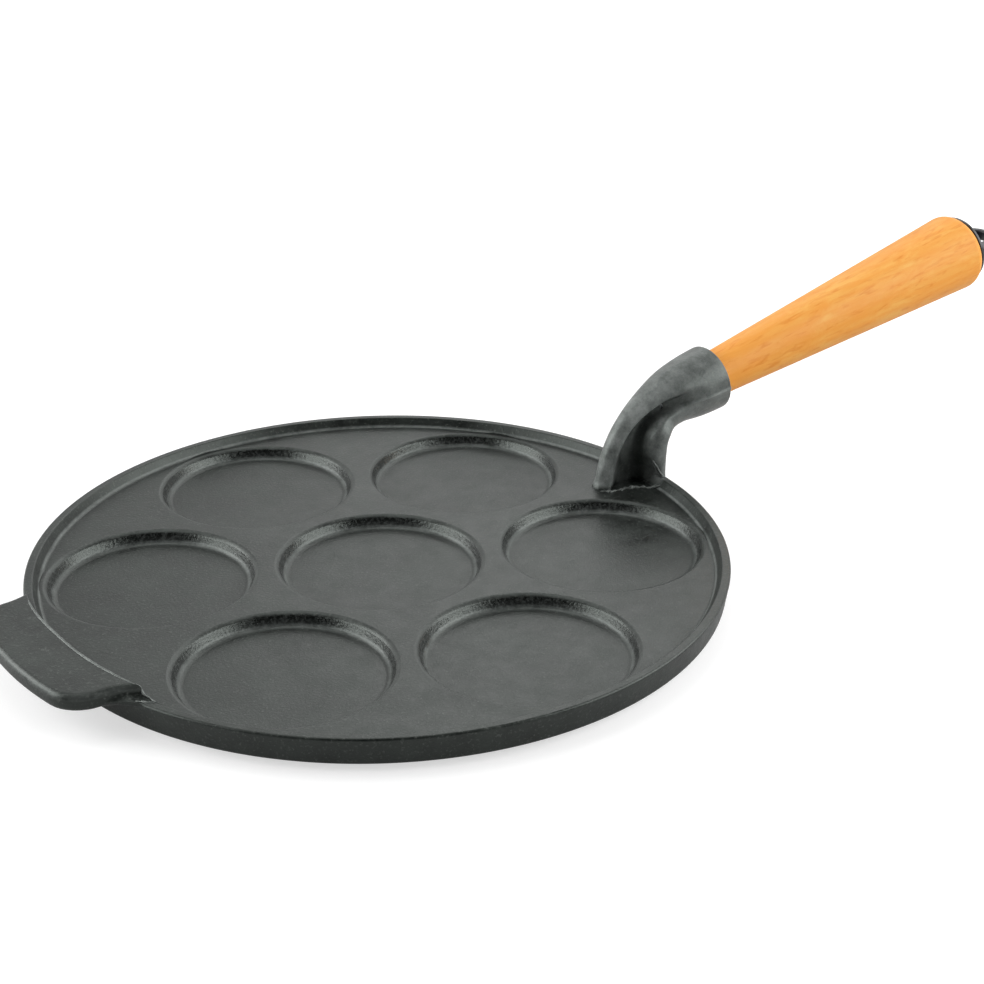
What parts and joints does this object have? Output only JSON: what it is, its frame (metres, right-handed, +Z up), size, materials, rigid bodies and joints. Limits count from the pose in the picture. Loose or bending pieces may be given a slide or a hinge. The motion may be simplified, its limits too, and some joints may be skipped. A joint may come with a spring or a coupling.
{
  "type": "plett pan",
  "caption": "Round cast iron pan with shallow round wells for small pancakes, a thumb tab and a gooseneck socket holding a turned wooden grip with a hanging eye.",
  "frame": {"origin": "middle of the flat underside of the plate", "axes": "+X from the plate's middle out along the handle, +Y to the left of someone holding the handle and facing the pan's back, +Z up out of the wells"},
  "size_m": [0.4251, 0.23, 0.075],
  "materials": {
    "cast_iron": "seasoned, satin, fine sand-cast grain",
    "beech": "turned and lacquered, satin",
    "zinc_steel": "zinc plated",
    "black_enamel": "gloss black"
  },
  "bodies": {
    "pan": {"pan_casting": "cast_iron", "tie_rod": "zinc_steel"},
    "grip": {"handle_grip": "beech"},
    "eye": {"hanging_eye_nut": "black_enamel"}
  },
  "joints": [
    {"name": "grip_draw", "type": "slide", "parent": "pan", "child": "grip", "axis": [0.9858, 0, 0.1676], "range_m": [0, 0.008]},
    {"name": "eye_turn", "type": "hinge", "parent": "grip", "child": "eye", "pos_m": [0.1449, 0, 0.0382], "axis": [0.9858, 0, 0.1676], "range_deg": [0, 2160]}
  ],
  "couplings": [
    {"joint": "grip_draw", "follows": "eye_turn", "m_per_rad": 0.00019894}
  ]
}
